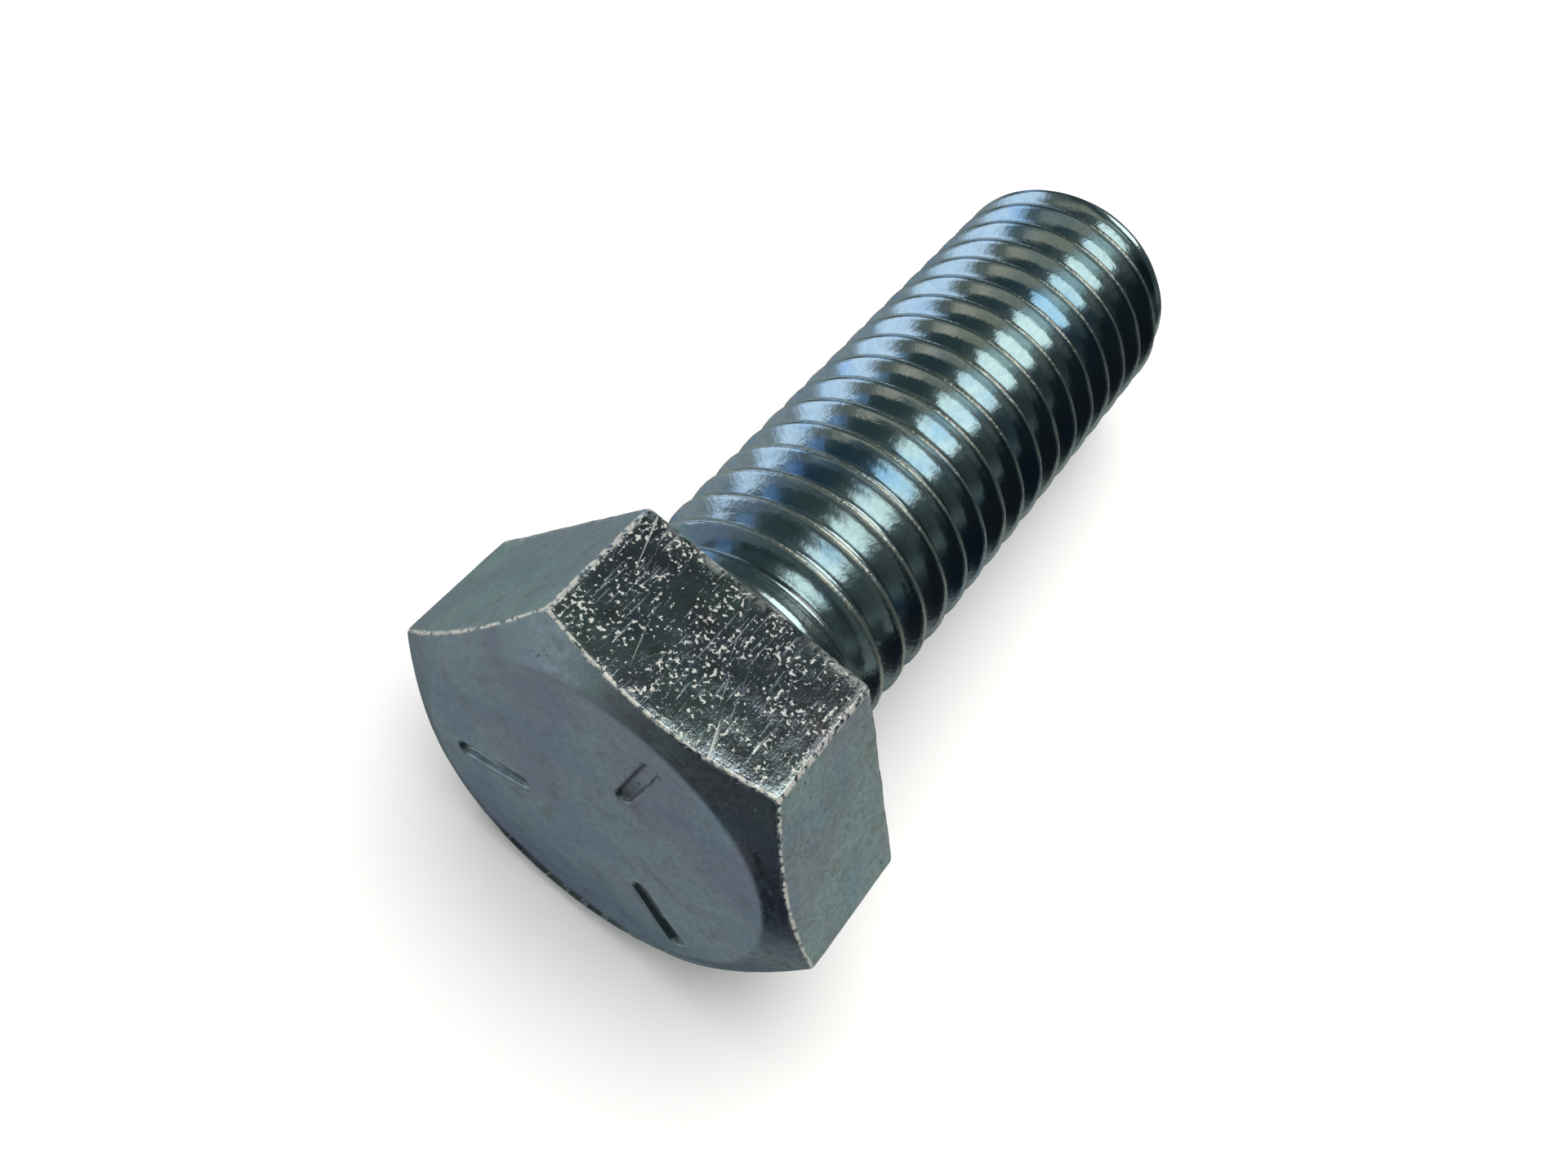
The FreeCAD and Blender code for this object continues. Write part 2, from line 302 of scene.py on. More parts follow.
def build_head(surface):
    """The head, from the middle of its top to the plain neck. Returns the neck's last ring."""
    angles = head_columns()
    columns = len(angles)
    radius = hexagon_radius(angles)
    worn_along = turned(level(UNEVEN_X, UNEVEN_RADIUS, columns), angles)
    worn = noise_field(worn_along, UNEVEN_LENGTH)
    face_edge = level(HEAD_TOP, FACE_RADIUS, columns)
    chamfer_edge = np.stack(
        [HEAD_TOP + (radius - FACE_RADIUS) * CHAMFER_SLOPE, radius], axis=1
    )
    back_edge = np.stack([np.full(columns, -WASHER_HEIGHT), radius], axis=1)
    middle = level(HEAD_TOP, 0.0, columns)
    washer_foot = level(-WASHER_HEIGHT, WASHER_RADIUS, columns)

    face_arc = round_corner(middle, face_edge, chamfer_edge, FACE_EDGE_ROUNDING, ARC_RINGS)
    chamfer_rounding = CHAMFER_EDGE_ROUNDING * (1 + CHAMFER_EDGE_UNEVENNESS * worn)
    back_rounding = BACK_EDGE_ROUNDING * (1 + BACK_EDGE_UNEVENNESS * worn)
    chamfer_arc = round_corner(face_edge, chamfer_edge, back_edge, chamfer_rounding, ARC_RINGS)
    back_arc = round_corner(chamfer_edge, back_edge, washer_foot, back_rounding, ARC_RINGS)

    # each ring of the outline, with how worn it is
    face_radii = np.linspace(FACE_INNER, FACE_OUTER, FACE_RINGS)
    rings = [(level(HEAD_TOP, r, columns), 0.0) for r in face_radii]
    rings += [(ring, 0.0) for ring in face_arc]
    rings += [(ring, 0.0) for ring in between(face_arc[-1], chamfer_arc[0], CHAMFER_RINGS)]
    rings += list(zip(chamfer_arc, EDGE_WEAR))
    for ring in between(chamfer_arc[-1], back_arc[0], SIDE_RINGS):
        rubbed = smoothstep(*SIDE_RUB_FADES, ring[:, 0]) * (SIDE_RUB[0] + SIDE_RUB[1] * worn)
        rings.append((ring, rubbed))
    rings += [(ring, BACK_EDGE_RUB[0] + BACK_EDGE_RUB[1] * worn) for ring in back_arc]
    rings += [(ring, 0.0) for ring in between(back_arc[-1], washer_foot, FOOT_RINGS)]

    def dressed(points):
        """The forged surface's slight waves, and the stamped marks on the top."""
        wave = WAVE_HEIGHT * noise_field(points, WAVE_LENGTH, 1.0)
        wave += RIPPLE_HEIGHT * noise_field(points, RIPPLE_LENGTH, 4.0)
        shift = np.zeros_like(points)
        on_top = points[:, 0] < HEAD_TOP + WAVY_TOP_DEPTH
        fall = FALL_RATE * np.maximum(FALL_START - points[:, 2], 0) ** 2
        shift[:, 0] += np.where(on_top, wave + fall + stamped(points[:, 1], points[:, 2]), 0)
        out = np.hypot(points[:, 1], points[:, 2])[:, None]
        outward = points[:, 1:] / np.maximum(out, 1e-6)
        above_foot = points[:, 0] < -WASHER_HEIGHT - WAVY_SIDES_START
        sides = (~on_top & above_foot)[:, None]
        shift[:, 1:] += np.where(sides, -np.abs(wave)[:, None] * outward, 0)
        return points + shift

    corner_angle = np.degrees(np.abs(off_corner(angles)))
    corner = CORNER_WEAR * smoothstep(*CORNER_WEAR_FADES, corner_angle)
    top_flat = np.abs(angles - math.pi / 2) < CORNER_ANGLE / 2
    previous = None
    first = None
    for ring, wear in rings:
        points = dressed(turned(ring, angles))
        on_side = (ring[:, 1] > radius - SIDE_MARGIN) & (points[:, 0] < -WASHER_HEIGHT)
        on_face = 1 - smoothstep(FACE_RADIUS - FACE_MASK_FADE, FACE_RADIUS, ring[:, 1])
        on_face = np.where(ring[:, 0] < HEAD_TOP + FACE_MASK_DEPTH, on_face, 0)
        on_chamfer = (1 - on_face) * (1 - on_side)
        on_flat = np.where(top_flat, TOP_FLAT_SPECKLE, OTHER_FLAT_SPECKLE)
        speckle = on_side * on_flat + CHAMFER_SPECKLE * on_chamfer
        stamp = on_face * np.clip(stamped(points[:, 1], points[:, 2]) / DASH_DEPTH, 0, 1)
        edge = np.maximum(wear, corner * on_side)
        numbers = surface.add(points, wear=edge, speckle=speckle, top=on_face, stamp=stamp)
        if previous is None:
            first = numbers
        else:
            surface.strip(previous, numbers)
        previous = numbers

    # the middle of the top, with fewer columns
    coarse_angles = angles[::INNER_THINNING]
    outer_ring = None
    for r in INNER_RADII:
        points = dressed(turned(level(HEAD_TOP, r, len(coarse_angles)), coarse_angles))
        numbers = surface.add(points, top=1.0)
        if outer_ring is None:
            surface.thicken(numbers, first)
        else:
            surface.strip(numbers, outer_ring)
        outer_ring = numbers
    pole = surface.add(dressed(np.array([[HEAD_TOP, 0.0, 0.0]])), top=1.0)[0]
    surface.faces += [
        [pole, outer_ring[k], outer_ring[k - 1]] for k in range(len(outer_ring))
    ]

    # the washer face, bearing face and neck are round, so they need fewer columns
    columns = len(coarse_angles)
    foot = level(-WASHER_HEIGHT, WASHER_RADIUS, columns)
    rim = level(0.0, WASHER_RADIUS, columns)
    neck_foot = level(0.0, NECK_RADIUS, columns)
    neck_end = level(NECK_END, NECK_RADIUS, columns)
    rings = [foot]
    rings += between(foot, level(-WASHER_EDGE_ROUNDING, WASHER_RADIUS, columns), 1)
    rings += round_corner(foot, rim, neck_foot, WASHER_EDGE_ROUNDING, WASHER_ARC_RINGS)
    fillet = round_corner(rim, neck_foot, neck_end, NECK_FILLET, FILLET_RINGS)
    rings += between(rings[-1], fillet[0], BEARING_RINGS)
    rings += fillet
    for ring in rings:
        numbers = surface.add(turned(ring, coarse_angles))
        if len(previous) == len(numbers):
            surface.strip(previous, numbers)
        else:
            surface.thin_out(previous, numbers)
        previous = numbers
    return previous, coarse_angles


def thread_steps():
    """The places across one turn of the thread, from a crest's middle to the next one's."""
    crest = CREST_WIDTH / 2
    half = list(CREST_STEPS) + [crest + step for step in FLANK_STEPS]
    return np.array(half + [PITCH / 2] + [PITCH - s for s in reversed(half[1:])])


def thread_radius(across, x, angles, unevenness):
    """The radius of the shank, groove and all, at places across the thread."""
    from_crest = np.abs((across + PITCH / 2) % PITCH - PITCH / 2)
    from_root = PITCH / 2 - from_crest
    flank = THREAD_RADIUS - (from_crest - CREST_WIDTH / 2) / math.tan(FLANK)
    root = ROOT_CENTRE - np.sqrt(np.maximum(ROOT_ROUNDING**2 - from_root**2, 0))
    groove = np.where(from_root < ROOT_ROUNDING * math.cos(FLANK), root, flank)
    turn_x = x - (GROOVE_AT_ZERO + PITCH * (angles / (2 * math.pi)))
    groove = groove + RUNOUT_HEIGHT * (1 - smoothstep(RUNOUT_FROM, RUNOUT_TO, turn_x))
    seam = SEAM_DEPTH * np.exp(-((from_crest / SEAM_WIDTH) ** 2))
    seam *= 1 - smoothstep(*SEAM_FADES, x)
    crest = THREAD_RADIUS - CREST_UNEVENNESS * np.abs(unevenness) - seam
    opened = smoothstep(CONE_START - CONE_EASING, CONE_END + CONE_EASING, x)
    cone = NECK_RADIUS + (THREAD_RADIUS - NECK_RADIUS) * opened
    point = POINT_RADIUS + (THREAD_RADIUS - POINT_RADIUS) * (TIP - x) / (TIP - POINT_START)
    blank = smooth_min(np.minimum(crest, cone), point, POINT_ROUNDING)
    return smooth_min(groove, blank, CREST_ROUNDING)


def build_shank(surface, neck_ring, angles):
    """The threaded shank, whose mesh follows the helix, and the point's flat end."""
    columns = len(angles)
    steps = thread_steps()
    per_turn = len(steps)
    turns = math.ceil((TIP - NECK_END) / PITCH) + 2
    crest_at_zero = GROOVE_AT_ZERO - PITCH / 2
    first_turn = math.floor((NECK_END - crest_at_zero) / PITCH) - 1
    start = crest_at_zero + first_turn * PITCH
    places = np.concatenate([start + turn * PITCH + steps for turn in range(turns + 1)])
    low, high = NECK_END, TIP - POINT_EDGE

    # the first and last place that each column keeps, and its places along the axis
    kept = []
    for number in range(columns):
        x = places + PITCH * angles[number] / (2 * math.pi)
        inside = np.nonzero((x > low + COLUMN_GAP) & (x < high - COLUMN_GAP))[0]
        kept.append((inside[0], inside[-1], x[inside]))

    numbers = []
    for number in range(columns):
        x = np.concatenate([[low], kept[number][2], [high]])
        angle = np.full(len(x), angles[number])
        across = x - PITCH * angle / (2 * math.pi) - crest_at_zero
        near = np.stack([x, THREAD_RADIUS * np.cos(angle), THREAD_RADIUS * np.sin(angle)], axis=1)
        r = thread_radius(across, x, angle, noise_field(near, CREST_NOISE_LENGTH, 7.0))
        from_crest = np.abs((across + PITCH / 2) % PITCH - PITCH / 2)
        line = CREST_LINE + CREST_LINE_GAIN * (1 - smoothstep(*SEAM_FADES, x))
        crest = 1 - smoothstep(line - CREST_LINE_IN, line + CREST_LINE_OUT, from_crest)
        crest *= smoothstep(CONE_START, CONE_END, x)
        points = np.stack([x, r * np.cos(angle), r * np.sin(angle)], axis=1)
        numbers.append(surface.add(points, thread=1.0, crest=crest))

    for number in range(columns):
        following = (number + 1) % columns
        # the last column joins the first one a turn further on
        shift = per_turn if following == 0 else 0
        here_first, here_last = kept[number][:2]
        next_first, next_last = kept[following][0] - shift, kept[following][1] - shift
        here = dict(zip(range(here_first, here_last + 1), numbers[number][1:-1]))
        beyond = dict(zip(range(next_first, next_last + 1), numbers[following][1:-1]))
        top, bottom = max(here_first, next_first), min(here_last, next_last)
        surface.faces.append(
            [numbers[number][0], numbers[following][0]]
            + [beyond[k] for k in range(next_first, top + 1)]
            + [here[k] for k in range(top, here_first - 1, -1)]
        )
        for k in range(top, bottom):
            surface.faces.append([here[k], beyond[k], beyond[k + 1], here[k + 1]])
        surface.faces.append(
            [here[k] for k in range(here_last, bottom - 1, -1)]
            + [beyond[k] for k in range(bottom, next_last + 1)]
            + [numbers[following][-1], numbers[number][-1]]
        )

    surface.strip(neck_ring, [column[0] for column in numbers])
    previous = np.array([column[-1] for column in numbers])
    bevel = [(TIP - END_BEVEL, POINT_RADIUS - END_BEVEL), (TIP, POINT_RADIUS - END_INSET)]
    for x, r in bevel + [(TIP, r) for r in END_RADII]:
        ring = surface.add(turned(level(x, r, columns), angles))
        surface.strip(previous, ring)
        previous = ring
    pole = surface.add([[TIP, 0.0, 0.0]])[0]
    surface.faces += [
        [previous[k - 1], previous[k], pole] for k in range(len(previous))
    ]


def make_bolt():
    """The bolt's whole surface as one closed mesh object."""
    surface = Surface()
    neck_ring, angles = build_head(surface)
    build_shank(surface, neck_ring, angles)
    mesh = bpy.data.meshes.new("hex_bolt_finished")
    points = np.concatenate(surface.points) * MM
    mesh.from_pydata(points.tolist(), [], [list(map(int, face)) for face in surface.faces])
    for name, values in surface.masks.items():
        layer = mesh.attributes.new(name, "FLOAT", "POINT")
        layer.data.foreach_set("value", np.concatenate(values).astype(np.float32))
    mesh.validate()
    mesh.shade_smooth()
    bolt = bpy.data.objects.new("hex_bolt_finished", mesh)
    bpy.context.scene.collection.objects.link(bolt)
    return bolt


bolt = make_bolt()

# ------------------------------------------------------------------------- materials


# the colour sockets of a Mix node, whose names repeat
MIX_FIRST, MIX_SECOND, MIX_RESULT = 6, 7, 2


class Graph:
    """Short ways to add nodes. A value may be a number, a tuple or another node's socket."""

    def __init__(self, tree):
        self.tree = tree

    def node(self, kind, **settings):
        made = self.tree.nodes.new(kind)
        for name, value in settings.items():
            setattr(made, name, value)
        return made

    def put(self, socket, value):
        if isinstance(value, bpy.types.NodeSocket):
            self.tree.links.new(value, socket)
        else:
            socket.default_value = value

    def math(self, operation, *values, clamp=False):
        made = self.node("ShaderNodeMath", operation=operation, use_clamp=clamp)
        for socket, value in zip(made.inputs, values):
            self.put(socket, value)
        return made.outputs[0]

    def product(self, first, *others):
        for other in others:
            first = self.math("MULTIPLY", first, other)
        return first

    def dot(self, vector, towards):
        made = self.node("ShaderNodeVectorMath", operation="DOT_PRODUCT")
        self.put(made.inputs[0], vector)
        self.put(made.inputs[1], towards)
        return made.outputs["Value"]

    def stretch(self, vector, factors):
        made = self.node("ShaderNodeVectorMath", operation="MULTIPLY")
        self.put(made.inputs[0], vector)
        self.put(made.inputs[1], factors)
        return made.outputs["Vector"]

    def along(self, vector, x, y, z):
        """The vector's parts along three directions."""
        made = self.node("ShaderNodeCombineXYZ")
        for socket, towards in zip(made.inputs, (x, y, z)):
            self.put(socket, self.dot(vector, towards))
        return made.outputs["Vector"]

    def remap(self, value, low, high, start=0.0, end=1.0):
        """A smooth change from start to end while the value goes from low to high."""
        made = self.node("ShaderNodeMapRange", interpolation_type="SMOOTHSTEP")
        for name, given in (
            ("Value", value),
            ("From Min", low),
            ("From Max", high),
            ("To Min", start),
            ("To Max", end),
        ):
            self.put(made.inputs[name], given)
        return made.outputs["Result"]

    def noise(self, vector, scale, detail):
        made = self.node("ShaderNodeTexNoise")
        for name, given in (("Vector", vector), ("Scale", scale), ("Detail", detail)):
            self.put(made.inputs[name], given)
        return made.outputs["Fac"]

    def spots(self, vector, scale, radius, edge, share):
        """Round spots: 1 in the middle, 0 outside. The share is how many cells have one."""
        cell = self.node("ShaderNodeTexVoronoi")
        self.put(cell.inputs["Vector"], vector)
        self.put(cell.inputs["Scale"], scale)
        lucky = self.node("ShaderNodeSeparateColor")
        self.put(lucky.inputs["Color"], cell.outputs["Color"])
        size = self.math("MULTIPLY", lucky.outputs["Green"], radius)
        shape = self.remap(self.math("SUBTRACT", cell.outputs["Distance"], size), edge, -edge)
        chosen = self.math("LESS_THAN", lucky.outputs["Red"], share)
        return self.math("MULTIPLY", shape, chosen)

    def mix(self, factor, first, second):
        made = self.node("ShaderNodeMix", data_type="RGBA")
        self.put(made.inputs["Factor"], factor)
        self.put(made.inputs[MIX_FIRST], first)
        self.put(made.inputs[MIX_SECOND], second)
        return made.outputs[MIX_RESULT]

    def attribute(self, name):
        return self.node("ShaderNodeAttribute", attribute_name=name).outputs["Fac"]


ZINC = (0.72, 0.785, 0.79, 1)
PURPLE_TINT = (0.66, 0.615, 0.71, 1)
BLUE_TINT = (0.40, 0.61, 0.82, 1)
BROWN_STAIN = (0.50, 0.43, 0.36, 1)
# a darker blue, painted as shade on the lower part of the head's top
LOW_SIDE_PAINTED_SHADE = (0.36, 0.50, 0.62, 1)
CLOUDY = (0.45, 0.50, 0.52, 1)
# the dark of the pits, which also paints shade into the stamped dashes
PITS_AND_DASH_SHADE_DARK = (0.07, 0.065, 0.06, 1)
WORN = (0.80, 0.77, 0.68, 1)
CREST_WORN = (0.98, 0.90, 0.78, 1)
BRUSH_ANGLE = math.radians(35)

# where the plating changes from satin to bright, along the shank
BRIGHTENS = (4.0, 27.0)
# roughness: the least and the most on the head, and at the start and end of the change
HEAD_SATIN = (0.25, 0.34)
THREAD_GLOSS = (0.16, 0.09)
SPECKLED_IS_SMOOTHER, CREST_IS_ROUGHER, WORN_IS_ROUGHER, PITTED_IS_ROUGHER = 0.2, 0.16, 0.3, 0.3
WORN_METALLIC = 0.55

# the relief's heights, in millimetres
FORGED_RELIEF = 0.0035
BRUSHED_RELIEF = 0.016
DRAWN_RELIEF = 0.003
MOUND_RELIEF = 0.06
FINE_RELIEF = 0.005
PIT_RELIEF = -0.03
ROLLED_RELIEF = (0.014, 0.006)
RUBBED_RELIEF = 0.05


def make_zinc():
    """Zinc plate over forged steel: tinted, brushed, pitted, and worn bright on its edges, with
    painted shade low on the head's top and in the stamped dashes.
    """
    material = bpy.data.materials.new("zinc_plated_steel")
    material.use_nodes = True
    graph = Graph(material.node_tree)
    shader = graph.tree.nodes["Principled BSDF"]
    place = graph.node("ShaderNodeTexCoord").outputs["Object"]
    where = graph.stretch(place, (1 / MM, 1 / MM, 1 / MM))
    thread = graph.attribute("thread")
    head = graph.math("SUBTRACT", 1.0, thread)
    crest = graph.attribute("crest")
    wear = graph.attribute("wear")
    speckle = graph.attribute("speckle")
    top = graph.attribute("top")
    to_tip = graph.remap(graph.dot(where, (1, 0, 0)), *BRIGHTENS)

    # colour
    tint_a = graph.noise(where, 0.17, 3.0)
    tint_b = graph.noise(graph.stretch(where, (1.3, 0.9, -1.1)), 0.21, 3.0)
    mottle = graph.noise(where, 2.6, 3.0)
    purple = graph.product(graph.remap(tint_a, 0.43, 0.60), 0.85, head)
    colour = graph.mix(purple, ZINC, PURPLE_TINT)
    bluer_on_thread = graph.remap(thread, 0.0, 1.0, start=0.35, end=0.7)
    blue = graph.product(graph.remap(tint_b, 0.5, 0.68), bluer_on_thread)
    colour = graph.mix(blue, colour, BLUE_TINT)
    # painted shade: the head's top turns darker and bluer towards its lower edge, more than 3 mm
    # below the axis
    painted_low_shade = graph.remap(graph.dot(where, (0, 0, 1)), -3.0, -9.0, start=0.0, end=0.55)
    colour = graph.mix(graph.product(painted_low_shade, top), colour, LOW_SIDE_PAINTED_SHADE)
    stain = graph.product(graph.remap(graph.noise(where, 0.75, 4.0), 0.55, 0.72), 0.5, head)
    colour = graph.mix(stain, colour, BROWN_STAIN)
    cloud = graph.remap(mottle, 0.35, 0.7, start=0.0, end=0.3)
    colour = graph.mix(cloud, colour, CLOUDY)

    # pits, painted shade in the stamped dashes, worn places and the specks that catch the light
    pits = graph.product(graph.spots(where, scale=1.7, radius=0.15, edge=0.06, share=0.42), head)
    crowd = graph.remap(graph.noise(where, 0.33, 2.0), 0.42, 0.62)
    pits = graph.product(pits, crowd)
    small_pits = graph.spots(where, scale=3.6, radius=0.16, edge=0.07, share=0.16)
    small_pits = graph.product(small_pits, head)
    ragged = graph.remap(graph.noise(where, 3.4, 3.0), 0.34, 0.56)
    worn = graph.product(wear, ragged)
    gather = graph.remap(graph.noise(where, 0.6, 4.0), 0.34, 0.60, start=-0.2, end=1.0)
    grit = graph.math("ADD", graph.noise(where, 4.2, 4.0), graph.product(gather, 0.11))
    bright_spots = graph.remap(grit, 0.65, 0.70)
    scratch_place = graph.along(where, (0.16, 0.05, 0), (-1.5, 4.5, 0), (0, 0, 1.0))
    scratches = graph.remap(graph.noise(scratch_place, 1.0, 2.0), 0.70, 0.74)
    bright_spots = graph.math("MAXIMUM", bright_spots, graph.product(scratches, 0.7))
    drawn_noise = graph.noise(graph.stretch(where, (0.5, 7.0, 7.0)), 1.0, 2.0)
    fine_lines = graph.product(graph.remap(drawn_noise, 0.62, 0.70), gather, 0.6)
    bright_spots = graph.math("MAXIMUM", bright_spots, fine_lines)
    stamp = graph.attribute("stamp")
    # painted shade: the walls of the stamped dashes are darkened with the pits' dark colour
    painted_dash_shade = graph.product(graph.remap(stamp, 0.03, 0.3), graph.remap(stamp, 0.9, 0.55))
    pits_and_dash_shade = graph.math("MAXIMUM", pits, graph.product(small_pits, 0.7))
    pits_and_dash_shade = graph.math("MAXIMUM", pits_and_dash_shade, graph.product(painted_dash_shade, 0.6))
    # the pits and the painted shade in the stamped dashes, in one dark colour
    colour = graph.mix(graph.product(pits_and_dash_shade, 0.85), colour, PITS_AND_DASH_SHADE_DARK)
    worn = graph.math("MAXIMUM", worn, graph.product(bright_spots, speckle, 0.8))
    colour = graph.mix(worn, colour, WORN)
    crest_patches = graph.remap(graph.noise(where, 1.9, 3.0), 0.33, 0.6, start=0.35, end=1.0)
    colour = graph.mix(graph.product(crest, crest_patches), colour, CREST_WORN)
    graph.put(shader.inputs["Base Color"], colour)
    graph.put(shader.inputs["Metallic"], graph.remap(worn, 0.0, 1.0, 1.0, WORN_METALLIC))

    # gloss: satin on the head and near it, brighter towards the tip of the thread
    satin = graph.remap(mottle, 0.3, 0.7, *HEAD_SATIN)
    satin = graph.math("SUBTRACT", satin, graph.product(speckle, SPECKLED_IS_SMOOTHER))
    thread_gloss = graph.remap(to_tip, 0.0, 1.0, *THREAD_GLOSS)
    rough = graph.math("ADD", graph.product(satin, head), graph.product(thread_gloss, thread))
    rough = graph.math("ADD", rough, graph.product(crest, CREST_IS_ROUGHER))
    rough = graph.math("ADD", rough, graph.product(worn, WORN_IS_ROUGHER))
    rough = graph.math("ADD", rough, graph.product(pits_and_dash_shade, PITTED_IS_ROUGHER), clamp=True)
    graph.put(shader.inputs["Roughness"], rough)

    # relief, as heights in millimetres
    forged = graph.product(graph.noise(where, 7.0, 3.0), FORGED_RELIEF)
    with_brush = Vector((0, math.cos(BRUSH_ANGLE), math.sin(BRUSH_ANGLE))) * 0.6
    across_brush = Vector((0, -math.sin(BRUSH_ANGLE), math.cos(BRUSH_ANGLE))) * 9
    brushed_place = graph.along(where, (1.0, 0, 0), with_brush, across_brush)
    brushed = graph.product(graph.noise(brushed_place, 1.0, 3.0), top, BRUSHED_RELIEF)
    side = graph.math("SUBTRACT", head, top)
    drawn = graph.product(drawn_noise, side, DRAWN_RELIEF)
    mounds = graph.product(bright_spots, speckle, MOUND_RELIEF)
    fine_mounds = graph.product(graph.noise(where, 6.0, 2.0), speckle, FINE_RELIEF)
    sunk = graph.product(pits_and_dash_shade, PIT_RELIEF)
    rolled = graph.remap(to_tip, 0.0, 1.0, *ROLLED_RELIEF)
    rolled = graph.product(graph.noise(where, 2.8, 3.0), rolled, thread)
    edges = graph.math("MAXIMUM", crest, wear)
    rubbed = graph.product(graph.noise(where, 3.5, 2.0), edges, RUBBED_RELIEF)
    height = forged
    for part in (brushed, drawn, mounds, fine_mounds, sunk, rolled, rubbed):
        height = graph.math("ADD", height, part)
    bump = graph.node("ShaderNodeBump")
    bump.inputs["Distance"].default_value = MM
    graph.put(bump.inputs["Height"], height)
    graph.put(shader.inputs["Normal"], bump.outputs["Normal"])
    return material


bolt.data.materials.append(make_zinc())
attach(bolt, "root")
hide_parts(NODE)

# ------------------------------------------------------------------------- the stage

# The bolt lies on the lower edge of its head and on the tip of its thread.
FLOOR_SIZE = 2.0
FLOOR_ROUGHNESS = 0.7
FLOOR_COLOURS = ((0.785, 0.785, 0.78, 1), (0.815, 0.815, 0.805, 1))
rest_slope = math.atan2(FLAT_RADIUS - THREAD_RADIUS, POINT_START + WASHER_HEIGHT)
bpy.ops.mesh.primitive_plane_add(size=FLOOR_SIZE)
floor = bpy.context.object
floor.name = "floor"
floor.rotation_euler = (0, -rest_slope, 0)
floor.location = Vector((-WASHER_HEIGHT, 0, -FLAT_RADIUS)) * MM
floor_material = bpy.data.materials.new("pale_floor")
floor_material.use_nodes = True
floor_shader = floor_material.node_tree.nodes["Principled BSDF"]
floor_graph = Graph(floor_material.node_tree)
floor_place = floor_graph.node("ShaderNodeTexCoord").outputs["Object"]
floor_colour = floor_graph.mix(floor_graph.noise(floor_place, 9.0, 4.0), *FLOOR_COLOURS)
floor_graph.put(floor_shader.inputs["Base Color"], floor_colour)
floor_shader.inputs["Roughness"].default_value = FLOOR_ROUGHNESS
floor.data.materials.append(floor_material)
floor.visible_glossy = False


def direction(azimuth, elevation):
    """A unit vector: azimuth is from +X towards +Y, elevation above the horizontal."""
    a, e = math.radians(azimuth), math.radians(elevation)
    return Vector((math.cos(a) * math.cos(e), math.sin(a) * math.cos(e), math.sin(e)))


# The room that the metal mirrors. Each patch is painted over the ones before it: its
# azimuth and elevation, its half width and half height, how soft its edge is, all in
# degrees, and its colour.
ROOM = (0.095, 0.12, 0.117, 1)
ALL_ROUND = 180
PATCHES = (
    (170, -58, 75, 30, 18, (0.19, 0.225, 0.25, 1)),
    (160, -84, ALL_ROUND, 8, 8, (0.06, 0.085, 0.11, 1)),
    (95, -36, 34, 12, 10, (0.25, 0.29, 0.30, 1)),
    (58, -30, 26, 14, 8, (0.22, 0.29, 0.29, 1)),
    (278, -42, 40, 16, 14, (0.25, 0.28, 0.26, 1)),
    (302, -25, 16, 12, 6, (0.25, 0.31, 0.30, 1)),
    (120, 50, 62, 20, 10, (0.035, 0.06, 0.066, 1)),
    (255, 40, 36, 26, 10, (0.034, 0.047, 0.052, 1)),
    (272, 55, 32, 4, 8, (0.12, 0.155, 0.165, 1)),
    (312, 16, 14, 30, 8, (0.028, 0.042, 0.042, 1)),
    (15, 40, 46, 24, 12, (0.028, 0.04, 0.038, 1)),
    (228, 2, 22, 28, 9, (0.006, 0.012, 0.015, 1)),
    (262, -10, 30, 10, 6, (0.03, 0.038, 0.042, 1)),
    (194, -18, 22, 9, 6, (0.010, 0.010, 0.015, 1)),
    (224, -34, 18, 24, 6, (0.006, 0.009, 0.012, 1)),
    (150, -15, 8, 8, 6, (0.34, 0.42, 0.48, 1)),
    (112, -24, 16, 18, 8, (0.24, 0.29, 0.33, 1)),
    (166, 30, 14, 18, 7, (0.20, 0.22, 0.185, 1)),
    (198, 45, 16, 8, 6, (0.30, 0.38, 0.38, 1)),
    (100, 18, 18, 8, 6, (0.17, 0.30, 0.52, 1)),
    (45, 2, 13, 24, 8, (0.28, 0.40, 0.52, 1)),
    (134, -3, 8, 17, 4, (0.62, 0.82, 1.05, 1)),
    (158, 10, 6, 5, 5, (0.36, 0.36, 0.31, 1)),
    (342, 42, 12, 16, 7, (0.62, 0.62, 0.56, 1)),
    (188, 17, 8, 6, 4, (0.32, 0.48, 0.50, 1)),
    (8, 78, 36, 8, 4, (0.9, 1.06, 1.06, 1)),
)
# a round lamp high above the bolt, which its grooves mirror twice over
LAMP_AZIMUTH, LAMP_ELEVATION = 301, 74
LAMP_RADIUS, LAMP_SOFTNESS = math.radians(20.5), math.radians(3)
LAMP_COLOUR = (1.2, 1.42, 1.42, 1)
BACKDROP = (0.86, 0.86, 0.85, 1)
EVEN_LIGHT = (0.66, 0.66, 0.655, 1)


